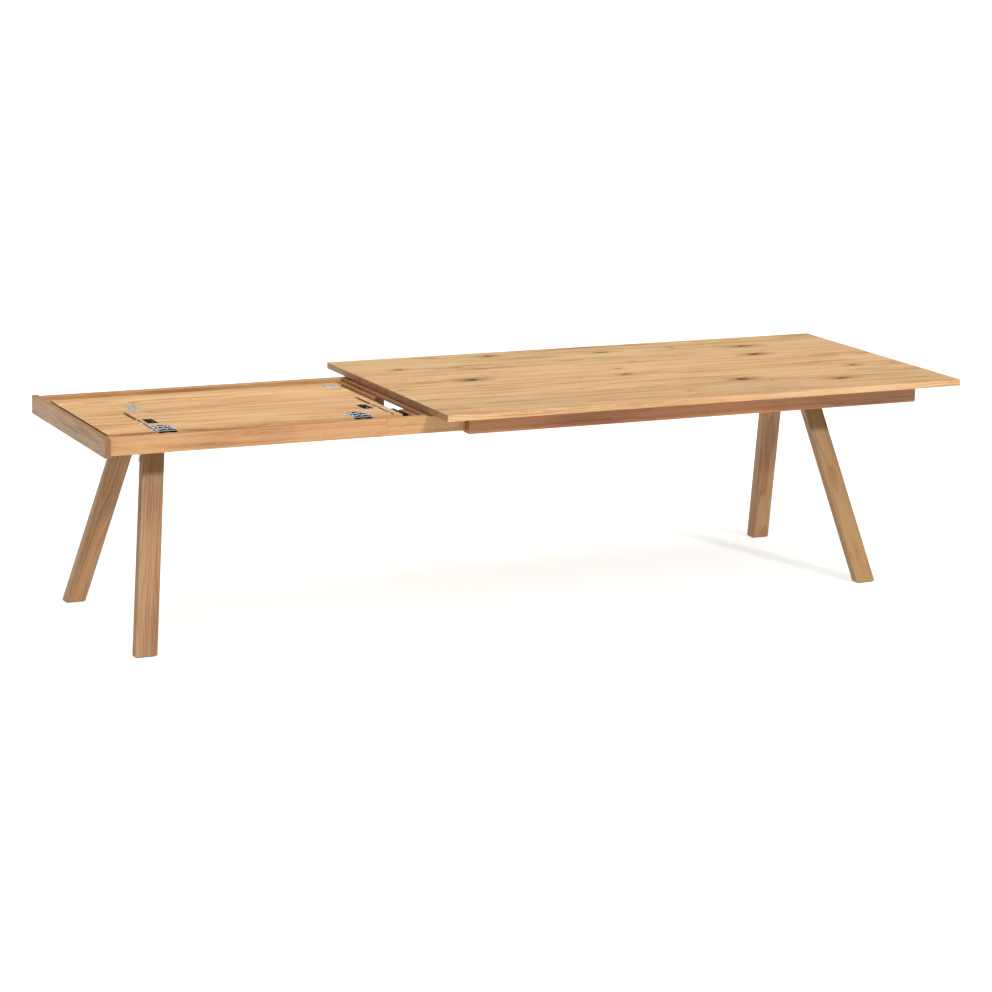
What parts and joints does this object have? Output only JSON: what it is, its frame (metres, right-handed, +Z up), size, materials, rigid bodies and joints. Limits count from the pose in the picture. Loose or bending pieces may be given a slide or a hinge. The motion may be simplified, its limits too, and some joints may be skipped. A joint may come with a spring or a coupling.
{
  "type": "extendable dining table",
  "caption": "Solid oak dining table with splayed legs, pulled out on telescoping rails, with a folded leaf stored in the frame.",
  "frame": {"origin": "on the floor, midway between the two ends of the extended table and between its long sides", "axes": "+X along the table from the extension towards the fixed top, +Y from the front to the back, +Z up"},
  "size_m": [3.1234, 1.04, 0.75],
  "materials": {
    "oak_board": "oiled oak board, glued up from planks",
    "oak_frame": "oiled oak rails",
    "oak_leg": "oiled oak legs",
    "beech": "plain beech, hidden members",
    "steel": "zinc-plated steel",
    "black_steel": "black painted steel",
    "nylon": "nylon slide strip",
    "felt": "felt glide"
  },
  "bodies": {
    "main_frame": {"main_end_board": "oak_frame", "main_glide_back": "felt", "main_glide_front": "felt", "main_leg_back": "oak_leg", "main_leg_beam": "beech", "main_leg_bolt_back": "steel", "main_leg_bolt_front": "steel", "main_leg_bracket_back": "steel", "main_leg_bracket_front": "steel", "main_leg_front": "oak_leg", "main_leg_plate": "black_steel", "main_rail_back": "oak_frame", "main_rail_front": "oak_frame", "slide_ledge_back": "nylon", "slide_ledge_front": "nylon", "stiffener_left": "steel", "stiffener_right": "steel", "tabletop": "oak_board", "travel_stop": "nylon", "upper_guide_back": "nylon", "upper_guide_front": "nylon"},
    "extension_frame": {"corner_block": "black_steel", "ext_end_board": "oak_frame", "ext_glide_back": "felt", "ext_glide_front": "felt", "ext_leg_back": "oak_leg", "ext_leg_beam": "beech", "ext_leg_bolt_back": "steel", "ext_leg_bolt_front": "steel", "ext_leg_bracket_back": "steel", "ext_leg_bracket_front": "steel", "ext_leg_front": "oak_leg", "ext_leg_plate": "black_steel", "ext_rail_back": "oak_frame", "ext_rail_front": "oak_frame", "leaf_rest_left": "beech", "leaf_rest_right": "beech", "pin_cradle_left": "black_steel", "pin_cradle_right": "black_steel", "rear_cross_rail": "beech", "runner_back": "oak_frame", "runner_front": "oak_frame", "tray_plate": "steel", "tray_strip": "oak_board", "well_cross_rail": "oak_frame"},
    "leaf_pins": {"leaf_pin_left": "steel", "leaf_pin_right": "steel"},
    "lower_leaf": {"hinge_lower_left": "steel", "hinge_lower_right": "steel", "hinge_pin_left": "steel", "hinge_pin_right": "steel", "leaf_lower": "oak_board"},
    "upper_leaf": {"hinge_upper_left": "black_steel", "hinge_upper_right": "black_steel", "keeper_plate": "steel", "leaf_catch_left": "black_steel", "leaf_catch_right": "black_steel", "leaf_upper": "oak_board", "lock_bar_left": "steel", "lock_bar_right": "steel"}
  },
  "joints": [
    {"name": "frame_slide", "type": "slide", "parent": "main_frame", "child": "extension_frame", "axis": [1, 0, 0], "range_m": [0, 1.229]},
    {"name": "leaf_swing", "type": "hinge", "parent": "extension_frame", "child": "leaf_pins", "pos_m": [0, 0.05559, 0.7065], "axis": [-1, 0, 0], "range_deg": [0, 166.7]},
    {"name": "leaf_level", "type": "hinge", "parent": "leaf_pins", "child": "lower_leaf", "pos_m": [0, -0.0982, 0.6835], "axis": [1, 0, 0], "range_deg": [0, 166.7]},
    {"name": "leaf_unfold", "type": "hinge", "parent": "lower_leaf", "child": "upper_leaf", "pos_m": [0, -0.2982, 0.69475], "axis": [1, 0, 0], "range_deg": [0, 180]}
  ],
  "couplings": [
    {"joint": "leaf_level", "follows": "leaf_swing", "ratio": 1},
    {"joint": "leaf_unfold", "follows": "leaf_swing", "ratio": 1.0797}
  ]
}
